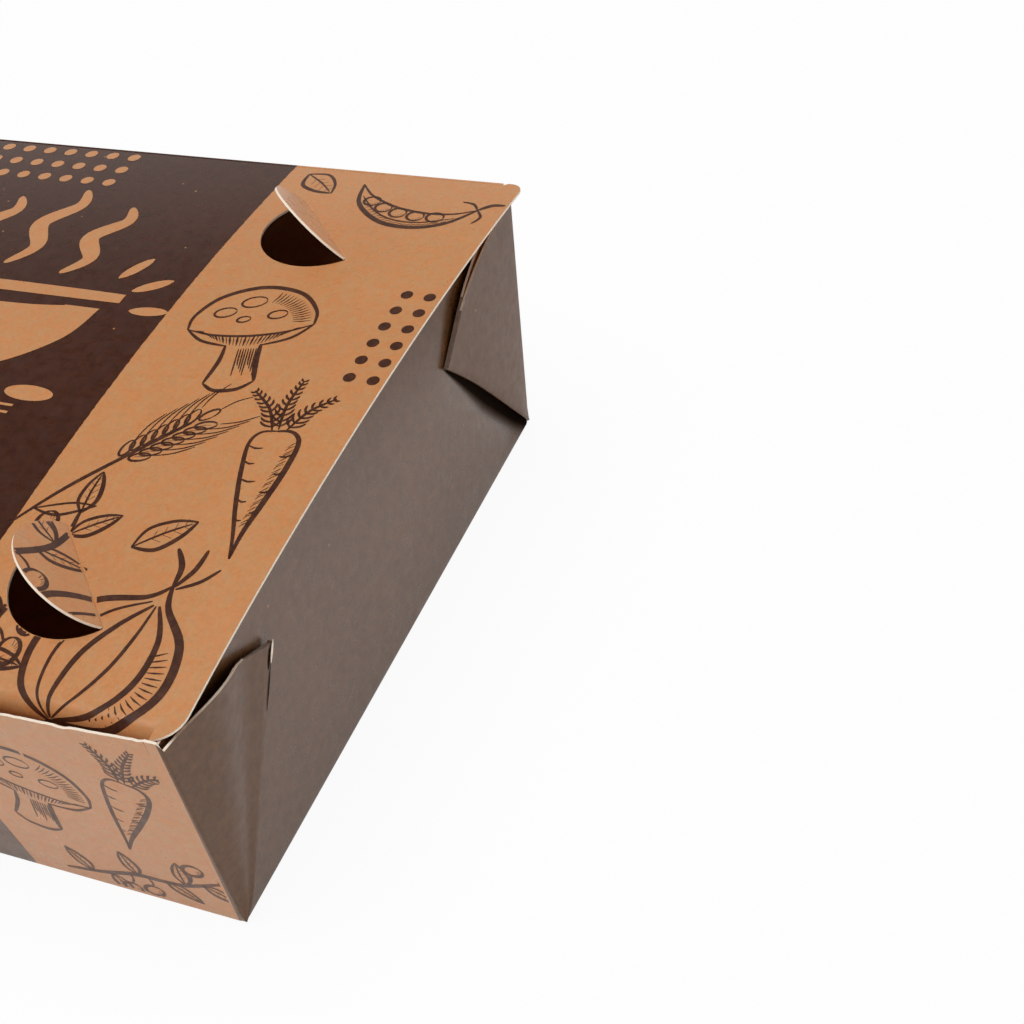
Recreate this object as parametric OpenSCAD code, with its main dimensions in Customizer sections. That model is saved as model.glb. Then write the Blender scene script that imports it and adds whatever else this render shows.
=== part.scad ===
// Takeaway box: one die-cut blank of kraft board, folded into a tray with web corners,
// with a crowned tuck lid on its back crease and half-moon vent tabs cut in the lid.
// Millimetres. X runs along the box, Y from front to back, Z up. Origin under the middle of the floor.

/* [Tray] */
// Length of the floor, end to end
floor_length = 150; // [130:1:180]
// Depth of the floor, front to back
floor_depth = 115; // [95:1:140]
// Height of the front wall
front_height = 49; // [40:0.5:60]
// Height of the back wall, up to its crease
back_height = 50.2; // [45:0.1:60]
// Height of the end walls at their front, under the lid
end_height_front = 47.5; // [38:0.1:58]
// Height of the end walls at their back, under the lid
end_height_back = 49.7; // [40:0.1:59]
// How far the front wall leans out at its top
front_flare = 4.6; // [3:0.1:7]
// How far the back wall leans out at its top
back_flare = 5.4; // [3:0.1:7]
// How far the end walls' front corners lean out at their top
end_flare_front = 4.1; // [2:0.1:6]
// How far the end walls' back corners lean out at their top
end_flare_back = 2.3; // [2:0.1:6]
// How far the front wall's top bows forward at its middle
front_bow = 1.5; // [0:0.1:3]
// Thickness of the board
board = 0.45; // [0.35:0.01:0.6]
// Outer radius of the folds round the floor
floor_fold = 0.8; // [0.7:0.05:1.5]
// Outer radius of the upright folds
corner_fold = 1.2; // [1:0.05:2]

/* [Right end, pressed in] */
// How far the right end wall is pressed in at its top
press_depth = 4; // [0:0.1:5]
// Where the press is deepest, from the middle of the box towards the back
press_place = 28; // [0:1:40]
// How far the press reaches each way
press_reach = 30; // [15:1:35]

/* [Web corners] */
// Length of the web's crease, from the floor corner to its tip
web_crease = 45; // [34:0.5:46]
// Width of the square-cut end of the web, from its tip
web_end_cut = 9.2; // [4:0.1:12]
// Reach of the web's free edge beside the upright fold
web_reach = 47.3; // [36:0.1:47.5]
// Angle of a front web between its upright fold and its crease
front_web_angle = 36; // [30:1:44]
// Angle of a back web between its upright fold and its crease
back_web_angle = 44; // [30:1:46]
// Air between the folded plies
ply_gap = 0.15; // [0.1:0.01:0.25]
// How far the folded crease swells past the plies' faces
fold_swell = 0.06; // [0.04:0.01:0.15]
// How far a front web's plies belly out at their free edge
web_belly = 1.8; // [0:0.1:2.5]
// How far the sprung back web's inner ply gapes from the outer one at the top
web_gape = 1.3; // [0:0.1:2]

/* [Lid] */
// How far the lid reaches past each end of the floor
lid_overhang = 5.5; // [5:0.1:12]
// Rise of the lid's arch above the line from its crease to its front
lid_crown = 3.65; // [2:0.05:6]
// Drop of the lid's front fold below its crease
lid_front_drop = 2.35; // [1:0.05:3]
// Radius of the lid's back corners
lid_back_radius = 3.5; // [1:0.1:8]
// Radius of the lid's front corners
lid_front_radius = 4.6; // [3:0.1:6]
// Outer radius of the front fold
front_fold = 2.6; // [1.5:0.1:4]
// Length of the tuck flap below the fold
flap_length = 9.5; // [5:0.5:12]
// Slope of the tuck flap's ends, from root to tip
flap_taper = 4; // [1:0.5:8]
// Radius of the tuck flap's lower corners
flap_radius = 5; // [1:0.5:5]
// Air between the tuck flap and the front wall
flap_clearance = 0.9; // [0.6:0.1:1.5]
// Radius of the raised beads along the creases that flaps turn on
crease_radius = 0.27; // [0.24:0.01:0.35]
// Air round the crease that the lid turns on
crease_clearance = 0.1; // [0.08:0.01:0.2]

/* [Vent tabs] */
// Radius of the half-moon cut
vent_radius = 11.2; // [6:0.1:13]
// Width of the die's cut round a tab
vent_kerf = 0.2; // [0.15:0.01:0.4]
// Distance of the front vents' middle from the lid's end
front_vent_from_end = 26.9; // [20:0.1:40]
// Distance of the front vents' middle from the front wall's top
front_vent_from_front = 23.1; // [19:0.1:35]
// Distance of the back vents' middle from the lid's end
back_vent_from_end = 29.1; // [20:0.1:40]
// Distance of the back vents' middle from the back crease
back_vent_from_back = 20; // [16:0.1:35]
// Angle at which the front right tab stands open
front_tab_angle = 45; // [0:1:90]
// Angle at which the back right tab stands open
back_tab_angle = 55; // [0:1:90]

/* [Hidden] */
$fn = 48;

kraft = "#c6925f";
dark_print = "#5b4c43";

// Tray outline
half_floor_x = floor_length / 2;
half_floor_y = floor_depth / 2;
front_y = half_floor_y + front_flare;
back_y = half_floor_y + back_flare;
web_stack = 2 * board + 2 * ply_gap;
front_corner_x = half_floor_x + end_flare_front;
back_corner_x = half_floor_x + end_flare_back;
fold_steps = 3;
end_steps = 10;
front_steps = 8;

// Lid arch, as a circle through the crease and the front
lid_length = floor_length + 2 * lid_overhang;
hinge_y = back_y - board / 2;
hinge_z = back_height;
lid_top_back = hinge_z + board / 2;
lid_top_front = lid_top_back - lid_front_drop;
lid_chord = norm([hinge_y + front_y, lid_front_drop]);
lid_radius = (lid_chord * lid_chord / 4 + lid_crown * lid_crown) / (2 * lid_crown);
lid_tilt = atan2(lid_front_drop, hinge_y + front_y);
arch_y = (hinge_y - front_y) / 2 + (lid_radius - lid_crown) * sin(lid_tilt);
arch_z = (lid_top_back + lid_top_front) / 2 - (lid_radius - lid_crown) * cos(lid_tilt);

// Middles of the vents' creases
front_vent_x = lid_length / 2 - front_vent_from_end;
front_vent_y = front_vent_from_front - front_y;
back_vent_x = lid_length / 2 - back_vent_from_end;
back_vent_y = hinge_y - back_vent_from_back;

// Front fold and tuck flap, parallel to the front wall
front_lean = atan2(front_flare, front_height - floor_fold);
fold_inner = front_fold - board;
flap_face = half_floor_y - board - flap_clearance;
fold_y = fold_centre_y(-front_y, 6);
fold_slope = asin((arch_y - fold_y) / (lid_radius - front_fold));
fold_z = arch_z + (lid_radius - front_fold) * cos(fold_slope);
fold_half_x = half_floor_x + end_flare_front - web_stack - 3 * board;
flap_half_x = fold_half_x - board;

// Place of the fold's centre, so that its face lies along the tuck flap's face
function fold_centre_y(guess, rounds) =
    rounds == 0 ? guess :
    fold_centre_y(-(flap_face + (arch_height(guess) - front_fold - floor_fold) * tan(front_lean))
                  + front_fold / cos(front_lean), rounds - 1);
function arch_height(y) = arch_z + sqrt(lid_radius * lid_radius - (y - arch_y) * (y - arch_y));
function mid_sheet(x, y) = [x, y, arch_height(y) - board / 2];
function unit(v) = v / norm(v);
function blend(a, b, share) = a + (b - a) * share;
function mirrored(points) = [for (k = [len(points) - 1:-1:0]) [-points[k][0], points[k][1], points[k][2]]];

// A fold round one corner, from the wall before it to the wall after it
function corner(x, y, radius, start, z_before, z_after) =
    [for (k = [0:fold_steps])
        [x + radius * cos(start + 90 * k / fold_steps), y + radius * sin(start + 90 * k / fold_steps),
         blend(z_before, z_after, k / fold_steps)]];

// The right end of the tray at its foot, pulled in by inset, at height z
function foot_end(inset, z) =
    let (r = corner_fold - inset, x = half_floor_x - corner_fold, y = half_floor_y - corner_fold)
    concat(corner(x, -y, r, -90, z, z),
           [for (k = [1:end_steps - 1]) [x + r, blend(-y, y, k / end_steps), z]],
           corner(x, y, r, 0, z, z));

// The right end of the tray at its rim, pulled in by inset; press is the depth pressed in
function rim_end(inset, press) =
    let (r = corner_fold - inset,
         x0 = front_corner_x - web_stack - corner_fold,
         x1 = back_corner_x - web_stack - corner_fold - press * press_at(back_y),
         y0 = -(front_y - corner_fold),
         y1 = back_y - corner_fold)
    concat(corner(x0, y0, r, -90, front_height, end_height_front),
           [for (k = [1:end_steps - 1])
               let (s = k / end_steps, y = blend(y0, y1, s))
               [blend(x0, x1 + press * press_at(back_y), s) + r - press * press_at(y), y,
                blend(end_height_front, end_height_back, s)]],
           corner(x1, y1, r, 0, end_height_back, back_height));
function press_at(y) = exp(-pow((y - press_place) / press_reach, 2));

function front_run(inset, half_x, y, z, bow) =
    [for (k = [1:front_steps - 1])
        let (s = 2 * k / front_steps - 1) [s * half_x, -(y - inset) - bow * (1 - pow(s, 4)), z]];

function foot_ring(inset, z) =
    concat(foot_end(inset, z), mirrored(foot_end(inset, z)),
           front_run(inset, half_floor_x - corner_fold, half_floor_y, z, 0));
function rim_ring(inset) =
    concat(rim_end(inset, press_depth), mirrored(rim_end(inset, 0)),
           front_run(inset, front_corner_x - web_stack - corner_fold, front_y, front_height, front_bow));

// A closed skin through rings of equal length, with a flat fan on the first and the last.
// The way in mirrors the way out, so that the sheet keeps its thickness where it twists.
module skin(rings) {
    n = len(rings[0]);
    last = n * (len(rings) - 1);
    end = n * len(rings);
    middles = [[0, 0, rings[0][0][2]], [0, 0, rings[len(rings) - 1][0][2]]];
    walls = [for (j = [0:n:last - 1], k = [0:n - 1])
        let (a = j + k, b = j + (k + 1) % n)
        each j < end / 2 ? [[a, a + n, b + n], [a, b + n, b]] : [[a, a + n, b], [b, a + n, b + n]]];
    caps = [for (k = [0:n - 1]) let (b = (k + 1) % n) each [[k, b, end], [last + b, last + k, end + 1]]];
    polyhedron(points = concat([for (ring = rings) each ring], middles), faces = concat(walls, caps), convexity = 6);
}

// The floor and four walls: up the outside from the floor, over the rim and down the inside
module tray_shell() {
    inner_fold = floor_fold - board;
    outside = [for (a = [0:45:90]) foot_ring(floor_fold * (1 - sin(a)), floor_fold * (1 - cos(a)))];
    inside = [for (a = [90:-45:0]) foot_ring(board + inner_fold * (1 - sin(a)), floor_fold - inner_fold * cos(a))];
    skin(concat(outside, [rim_ring(0), rim_ring(board)], inside));
}

// A straight round rod between two points
module rod(a, b, radius) {
    v = b - a;
    translate(a)
        rotate([0, acos(v[2] / norm(v)), atan2(v[1], v[0])])
            cylinder(r = radius, h = norm(v));
}

// One ply of a web: a sheet that fans out from the floor corner to its free edge
module fan(apex, edge, normal) {
    n = len(edge);
    near = concat([apex], edge);
    far = [for (p = near) p - normal * board];
    m = n + 1;
    front = [for (k = [1:n - 1]) [0, k, k + 1]];
    back = [for (k = [1:n - 1]) [m, m + k + 1, m + k]];
    rim = [for (k = [0:m - 1]) let (a = k, b = (k + 1) % m) each [[a, a + m, b + m], [a, b + m, b]]];
    polyhedron(points = concat(near, far), faces = concat(front, back, rim), convexity = 4);
}

// The free edge of a ply, from its tip to the upright fold
function ply_edge(foot, tip_way, corner_way, normal, out, belly) =
    let (whole = acos(tip_way * corner_way),
         cut = atan2(web_end_cut, web_crease),
         side = unit(corner_way - (corner_way * tip_way) * tip_way))
    [for (k = [-1:10])
        let (s = max(k, 0) / 10,
             a = k < 0 ? 0 : blend(cut, whole, s),
             r = k < 0 ? web_crease : blend(web_crease / cos(cut), web_reach, s))
        foot + r * (tip_way * cos(a) + side * sin(a)) + normal * (out + belly * sin(180 * s))];

// A folded web on the right end: two plies, the crease between them and the upright fold
module web(foot_y, corner_x, corner_y, height, angle, belly, gape) {
    inward = foot_y < 0 ? 1 : -1;
    foot = [half_floor_x, foot_y, 0];
    top = [corner_x, corner_y, height];
    corner_way = unit(top - foot);
    along = unit([0, inward, 0] - (corner_way[1] * inward) * corner_way);
    normal = unit(cross([0, 1, 0], corner_way));
    tip_way = corner_way * cos(angle) + along * sin(angle);
    step = board + ply_gap;
    inner_way = unit(top - [gape, 0, 0] - foot);
    lift = [0, 0, board];
    apex = foot + lift + normal * ply_gap;
    tip = foot + web_crease * tip_way;
    middle = (2 * board + ply_gap) / 2;
    ply(apex, ply_edge(foot, tip_way, corner_way, normal, 0, belly), normal, inward);
    ply(apex - normal * board, ply_edge(foot, tip_way, inner_way, normal, -step, belly), normal, inward);
    rod(foot + lift * 2 - normal * middle / 2, tip - normal * middle, middle + fold_swell);
    rod(foot + [-web_stack / 4, inward * web_stack / 2, board],
        top + [-web_stack / 2, inward * web_stack / 2, -board], web_stack / 2);
}

module ply(apex, edge, normal, inward) {
    n = len(edge);
    fan(apex, inward > 0 ? [for (k = [n - 1:-1:0]) edge[k]] : edge, normal);
}

module tray() {
    color(dark_print) {
        tray_shell();
        for (side = [0, 1]) mirror([side, 0, 0]) {
            web(-half_floor_y, front_corner_x, -front_y, front_height, front_web_angle, web_belly, 0);
            web(half_floor_y, back_corner_x, back_y, back_height, back_web_angle, 0, side == 0 ? web_gape : 0);
        }
        back_crease();
    }
}

// The rounded crease along the back wall's top, which the lid turns on
module back_crease() {
    half = back_corner_x - web_stack;
    rod([-half, hinge_y, hinge_z], [half, hinge_y, hinge_z], crease_radius);
}

// The arched sheet that the lid and its vent tabs are cut from
module arched_sheet() {
    translate([-lid_length / 2, arch_y, arch_z])
        rotate([0, 90, 0])
            difference() {
                cylinder(r = lid_radius, h = lid_length, $fn = 1440);
                translate([0, 0, -1]) cylinder(r = lid_radius - board, h = lid_length + 2, $fn = 1440);
            }
}

module lid_outline() {
    x = lid_length / 2;
    back = hinge_y - crease_radius - crease_clearance;
    front = -front_y + board * 2;
    for (side = [-1, 1]) {
        translate([side * (x - lid_back_radius), back - lid_back_radius]) circle(r = lid_back_radius);
        translate([side * (x - lid_front_radius), front + lid_front_radius]) circle(r = lid_front_radius);
    }
    translate([-x + lid_back_radius, front + lid_front_radius])
        square([2 * (x - lid_back_radius), back - front - lid_front_radius]);
    translate([-x, front + lid_front_radius])
        square([2 * x, back - front - lid_front_radius - lid_back_radius]);
    translate([-x + lid_front_radius, front])
        square([2 * (x - lid_front_radius), back - front - lid_back_radius]);
}

// A half-moon on its chord: the arc lies on the side of the chord towards the front and the middle
module half_moon(radius, start) {
    rotate([0, 0, -45])
        intersection() {
            cylinder(r = radius, h = 2 * lid_top_back, center = true, $fn = 96);
            translate([-2 * radius, -2 * radius - start, -lid_top_back])
                cube([4 * radius, 2 * radius, 2 * lid_top_back]);
        }
}

module at_vent(x, y) translate([x, y, lid_top_back]) children();

module vent_crease(x, y) {
    reach = (vent_radius + vent_kerf) * sin(45);
    rod(mid_sheet(x - reach, y + reach), mid_sheet(x + reach, y - reach), crease_radius);
}

module vent_tab(x, y, lift) {
    reach = vent_radius * sin(45);
    a = mid_sheet(x - reach, y + reach);
    b = mid_sheet(x + reach, y - reach);
    color(kraft)
        translate(a)
            rotate(a = -lift, v = b - a)
                translate(-a)
                    intersection() {
                        arched_sheet();
                        at_vent(x, y) half_moon(vent_radius - vent_kerf / 2, crease_radius + crease_clearance);
                    }
}

// The front fold: a quarter roll from the lid's face to the tuck flap
module front_roll() {
    reach = 4 * front_fold;
    start = 90 + fold_slope;
    end = 180 + front_lean;
    translate([-fold_half_x, fold_y, fold_z])
        rotate([90, 0, 90])
            intersection() {
                difference() {
                    cylinder(r = front_fold, h = 2 * fold_half_x);
                    translate([0, 0, -1]) cylinder(r = fold_inner, h = 2 * fold_half_x + 2);
                }
                linear_extrude(2 * fold_half_x)
                    polygon([[0, 0], reach * [cos(start), sin(start)],
                             reach * [cos(135), sin(135)], reach * [cos(end), sin(end)]]);
            }
}

module flap_outline() {
    tip_x = flap_half_x - flap_taper;
    r = flap_radius;
    difference() {
        polygon([[-flap_half_x, board], [-tip_x, -flap_length], [tip_x, -flap_length], [flap_half_x, board]]);
        for (side = [-1, 1])
            translate([side * (tip_x - r), -flap_length + r])
                difference() {
                    translate([side > 0 ? 0 : -2 * r, -2 * r]) square(2 * r);
                    circle(r = r);
                }
    }
}

module tuck_flap() {
    translate([0, fold_y, fold_z])
        rotate([front_lean, 0, 0])
            translate([0, -fold_inner, 0])
                rotate([90, 0, 0])
                    linear_extrude(board) flap_outline();
}

module lid() {
    color(kraft) {
        difference() {
            intersection() {
                arched_sheet();
                translate([0, 0, lid_top_front - front_fold]) linear_extrude(4 * lid_crown + front_fold) lid_outline();
            }
            translate([-fold_half_x, fold_y - 4 * front_fold, 0])
                cube([2 * fold_half_x, 4 * front_fold, 2 * lid_top_back]);
            for (side = [0, 1]) mirror([side, 0, 0]) {
                at_vent(front_vent_x, front_vent_y) half_moon(vent_radius + vent_kerf / 2, 0);
                at_vent(back_vent_x, back_vent_y) half_moon(vent_radius + vent_kerf / 2, 0);
            }
        }
        front_roll();
        tuck_flap();
        for (side = [0, 1]) mirror([side, 0, 0]) {
            vent_crease(front_vent_x, front_vent_y);
            vent_crease(back_vent_x, back_vent_y);
        }
    }
}

module vent_tab_front_right() vent_tab(front_vent_x, front_vent_y, front_tab_angle);
module vent_tab_back_right() vent_tab(back_vent_x, back_vent_y, back_tab_angle);
module vent_tab_front_left() mirror([1, 0, 0]) vent_tab(front_vent_x, front_vent_y, 0);
module vent_tab_back_left() mirror([1, 0, 0]) vent_tab(back_vent_x, back_vent_y, 0);

tray();
lid();
vent_tab_front_right();
vent_tab_back_right();
vent_tab_front_left();
vent_tab_back_left();
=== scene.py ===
import bmesh
import bpy
import math
import random
from mathutils import Matrix, Vector
from mathutils.geometry import delaunay_2d_cdt


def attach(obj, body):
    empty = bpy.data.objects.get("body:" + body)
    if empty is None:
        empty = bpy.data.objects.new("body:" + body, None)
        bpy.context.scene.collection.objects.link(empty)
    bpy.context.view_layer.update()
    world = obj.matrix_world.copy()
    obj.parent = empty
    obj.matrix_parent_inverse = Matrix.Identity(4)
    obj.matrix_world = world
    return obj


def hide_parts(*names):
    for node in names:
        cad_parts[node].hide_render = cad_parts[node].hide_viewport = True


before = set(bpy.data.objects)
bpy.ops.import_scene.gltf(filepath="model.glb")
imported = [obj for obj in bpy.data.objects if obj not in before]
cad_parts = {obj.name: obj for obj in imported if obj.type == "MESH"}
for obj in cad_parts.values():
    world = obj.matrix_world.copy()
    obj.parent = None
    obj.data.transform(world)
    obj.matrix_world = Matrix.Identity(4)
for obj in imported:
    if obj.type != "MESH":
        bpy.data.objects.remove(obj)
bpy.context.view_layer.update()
scene = bpy.context.scene
scene.view_settings.view_transform = "Standard"

# Camera: a hand-held still camera of medium length, to the right of the box's front and above it,
# rolled a little, so that the box runs out of the left of the picture.
RIGHT = Vector((0.91460, 0.37250, -0.15731))
UP = Vector((-0.14518, 0.66561, 0.73204))
BACK = Vector((0.37739, -0.64669, 0.66285))
CAMERA_PLACE = Vector((0.195187, -0.163023, 0.209963))
lens = bpy.data.cameras.new("still_camera")
lens.lens = 60.26
lens.sensor_width = 36.0
lens.shift_x = 0.0098
lens.shift_y = -0.0341
lens.clip_start = 0.01
camera = bpy.data.objects.new("still_camera", lens)
camera.matrix_world = Matrix.Translation(CAMERA_PLACE) @ Matrix((RIGHT, UP, BACK)).transposed().to_4x4()
scene.collection.objects.link(camera)
scene.camera = camera

# Table and light: a seamless white table top under one wide soft ceiling light. The room is bright near
# the level of the table and dim high up, so the printed lid reflects little and the end walls much.
TABLE_WHITE = (0.93, 0.93, 0.935, 1)
TABLE_GLOW_SEEN = 0.93
TABLE_GLOW_MIRRORED = 0.5
ROOM_LOW = 1.15
ROOM_HIGH = 0.08
ROOM_LOW_UP_TO = 0.20
ROOM_HIGH_FROM = 0.48
LAMP_WIDTH = 1.4
LAMP_POWER = 20.6
LAMP_PLACE = Vector((-0.05, -0.15, 1.5))


def link(tree, out, into):
    tree.links.new(out, into)


def maths(tree, operation, a, b=0.0):
    node = tree.nodes.new("ShaderNodeMath")
    node.operation = operation
    for socket, given in zip(node.inputs, (a, b)):
        if isinstance(given, float):
            socket.default_value = given
        else:
            link(tree, given, socket)
    return node.outputs[0]


def value_between(tree, source, low, high, to_low, to_high):
    node = tree.nodes.new("ShaderNodeMapRange")
    node.inputs["From Min"].default_value = low
    node.inputs["From Max"].default_value = high
    node.inputs["To Min"].default_value = to_low
    node.inputs["To Max"].default_value = to_high
    link(tree, source, node.inputs["Value"])
    return node.outputs["Result"]


def blank_material(name):
    material = bpy.data.materials.new(name)
    material.use_nodes = True
    material.node_tree.nodes.clear()
    return material, material.node_tree


table_white, tree = blank_material("table_white")
surface = tree.nodes.new("ShaderNodeBsdfPrincipled")
surface.inputs["Base Color"].default_value = TABLE_WHITE
surface.inputs["Roughness"].default_value = 0.9
surface.inputs["Specular IOR Level"].default_value = 0.1
glow = tree.nodes.new("ShaderNodeEmission")
glow.inputs["Color"].default_value = (1, 1, 1, 1)
path = tree.nodes.new("ShaderNodeLightPath")
share = maths(tree, "MULTIPLY", path.outputs["Is Camera Ray"], TABLE_GLOW_SEEN)
mirrored = maths(tree, "MULTIPLY", path.outputs["Is Glossy Ray"], TABLE_GLOW_MIRRORED)
share = maths(tree, "MAXIMUM", share, mirrored)
mix = tree.nodes.new("ShaderNodeMixShader")
out = tree.nodes.new("ShaderNodeOutputMaterial")
link(tree, share, mix.inputs[0])
link(tree, surface.outputs[0], mix.inputs[1])
link(tree, glow.outputs[0], mix.inputs[2])
link(tree, mix.outputs[0], out.inputs["Surface"])

table_mesh = bpy.data.meshes.new("table_top")
table_mesh.from_pydata([(-3, -3, 0), (3, -3, 0), (3, 3, 0), (-3, 3, 0)], [], [(0, 1, 2, 3)])
table_mesh.materials.append(table_white)
table = bpy.data.objects.new("table_top", table_mesh)
table.location.z = -0.00005
scene.collection.objects.link(table)

room = bpy.data.worlds.new("bright_room")
room.use_nodes = True
tree = room.node_tree
tree.nodes.clear()
walls = tree.nodes.new("ShaderNodeBackground")
walls.inputs["Color"].default_value = (1.0, 0.985, 0.955, 1)
height = tree.nodes.new("ShaderNodeSeparateXYZ")
link(tree, tree.nodes.new("ShaderNodeTexCoord").outputs["Generated"], height.inputs[0])
strength = value_between(tree, height.outputs["Z"], ROOM_LOW_UP_TO, ROOM_HIGH_FROM, ROOM_LOW, ROOM_HIGH)
link(tree, strength, walls.inputs["Strength"])
seen = tree.nodes.new("ShaderNodeBackground")
seen.inputs["Color"].default_value = (1, 1, 1, 1)
seen.inputs["Strength"].default_value = 1.0
path = tree.nodes.new("ShaderNodeLightPath")
mix = tree.nodes.new("ShaderNodeMixShader")
out = tree.nodes.new("ShaderNodeOutputWorld")
link(tree, path.outputs["Is Camera Ray"], mix.inputs[0])
link(tree, walls.outputs[0], mix.inputs[1])
link(tree, seen.outputs[0], mix.inputs[2])
link(tree, mix.outputs[0], out.inputs["Surface"])
scene.world = room

lamp = bpy.data.lights.new("ceiling_light", "AREA")
lamp.shape = "RECTANGLE"
lamp.size = LAMP_WIDTH
lamp.size_y = LAMP_WIDTH
lamp.energy = LAMP_POWER
ceiling_light = bpy.data.objects.new("ceiling_light", lamp)
ceiling_light.location = LAMP_PLACE
ceiling_light.rotation_euler = (-LAMP_PLACE).to_track_quat("-Z", "Y").to_euler()
scene.collection.objects.link(ceiling_light)

# Tray walls and floor: one die-cut sheet of thin kraft board, printed on the outside only, folded up
# along scored creases. The rim of the right end wall is pressed in towards its back, and the wall is dished
# below the back web, where a matt black shade is painted on it. All sizes of the box are in millimetres.
MM = 0.001
BOARD = 0.40
FLOOR_X = 75.0
FLOOR_Y = 57.5
FLOOR_FOLD = 0.8
CORNER_FOLD = 1.2
WEB_STACK = 1.2
FRONT_Y = 62.1
FRONT_Z = 49.0
FRONT_BOW = 1.5
BACK_Y = 62.9
BACK_Z = 50.2
FRONT_X = 79.1
BACK_X = 77.3
END_FRONT_Z = 47.5
END_BACK_Z = 49.7
PRESS = 4.0
PRESS_Y = 28.0
PRESS_REACH = 30.0
PRESS_BEND = 7
PRESS_FADE = 8
RIM_EASE = 0.05
RIM_DROP = 0.06
DISH = 1.3
DISH_TIP = (29.9, 35.5)
DISH_FOOT = (57.5, 0.0)
DISH_END_Y = 56.8
DISH_REACH = 4.5
GROOVE_WIDTH = 3.6
GROOVE_SHADE = (0.010, 0.005, 0.003, 1)
CORNER_STEPS = 6
END_STEPS = 96
FRONT_STEPS = 180
WALL_STEPS = 38

KRAFT_DEEP = (0.36, 0.130, 0.045, 1)
KRAFT_TINTS = ((0.640, 0.262, 0.094, 1), (0.580, 0.296, 0.128, 1), KRAFT_DEEP)
# Cut board edges are paler kraft. These tints are lighter still, near white, as a painted highlight along the
# edges.
EDGE_AND_HIGHLIGHT_TINTS = ((0.95, 0.85, 0.72, 1), (0.94, 0.82, 0.68, 1), (0.84, 0.68, 0.52, 1))
DARK_PRINT = (0.052, 0.0135, 0.0050, 1)
# The tray's print is the same dark ink as the lid's. It is made lighter here as painted sheen, standing in for
# the warm reflection on the end walls' glossy print.
TRAY_PRINT_AND_SHEEN = (0.115, 0.047, 0.014, 1)
# Rubbed ink on a crease, and painted sheen: the same greyish tone on the cut ends of the webs' plies stands in
# for the end wall's reflection, so that those ends don't show.
WEAR_AND_SHEEN_PRINT = (0.26, 0.20, 0.165, 1)
SLIT_SHADE = (0.020, 0.009, 0.005, 1)
TRAY_BAND_EDGE = 37.2
LID_BAND_EDGE = 36.4
LID_BAND_SKEW = 0.022
BAND_BLUR = 0.00004
BAND_WOBBLE = 0.00006
BUMP_STRENGTH = 0.16
BUMP_HEIGHT = 0.00005


def colour_mix(tree, share, a, b, kind="MIX"):
    node = tree.nodes.new("ShaderNodeMix")
    node.data_type = "RGBA"
    node.blend_type = kind
    for socket, given in ((node.inputs["Factor"], share), (node.inputs[6], a), (node.inputs[7], b)):
        if isinstance(given, (tuple, float)):
            socket.default_value = given
        else:
            link(tree, given, socket)
    return node.outputs[2]


def noise(tree, place, scale, detail=3.0, rough=0.55):
    node = tree.nodes.new("ShaderNodeTexNoise")
    node.inputs["Scale"].default_value = scale
    node.inputs["Detail"].default_value = detail
    node.inputs["Roughness"].default_value = rough
    link(tree, place, node.inputs["Vector"])
    return node.outputs["Fac"]


def kraft_pulp_group():
    """Kraft pulp seen close: soft blotches of two tints, wide clouds and short curved fibres."""
    group = bpy.data.node_groups.new("kraft_pulp", "ShaderNodeTree")
    for label in ("Warm", "Yellow", "Deep"):
        group.interface.new_socket(label, in_out="INPUT", socket_type="NodeSocketColor")
    group.interface.new_socket("Color", in_out="OUTPUT", socket_type="NodeSocketColor")
    group.interface.new_socket("Height", in_out="OUTPUT", socket_type="NodeSocketFloat")
    start = group.nodes.new("NodeGroupInput")
    end = group.nodes.new("NodeGroupOutput")
    place = group.nodes.new("ShaderNodeTexCoord").outputs["Object"]
    tint = value_between(group, noise(group, place, 560.0, 4.0, 0.7), 0.36, 0.64, 0.0, 1.0)
    shade = colour_mix(group, tint, start.outputs["Warm"], start.outputs["Yellow"])
    clouds = value_between(group, noise(group, place, 60.0, 3.0, 0.5), 0.34, 0.70, 0.0, 0.08)
    shade = colour_mix(group, clouds, shade, start.outputs["Deep"])
    blotches = noise(group, place, 1300.0, 5.0, 0.8)
    grain = value_between(group, blotches, 0.36, 0.64, 0.26, 0.0)
    shade = colour_mix(group, grain, shade, start.outputs["Deep"])
    hairs = maths(group, "ABSOLUTE", maths(group, "SUBTRACT", noise(group, place, 420.0, 1.0, 0.4), 0.5))
    hairs = value_between(group, hairs, 0.0, 0.028, 1.0, 0.0)
    pieces = value_between(group, noise(group, place, 760.0, 0.0), 0.60, 0.70, 0.0, 0.10)
    hairs = maths(group, "MULTIPLY", hairs, pieces)
    shade = colour_mix(group, hairs, shade, start.outputs["Deep"])
    link(group, shade, end.inputs["Color"])
    link(group, blotches, end.inputs["Height"])
    return group


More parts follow.
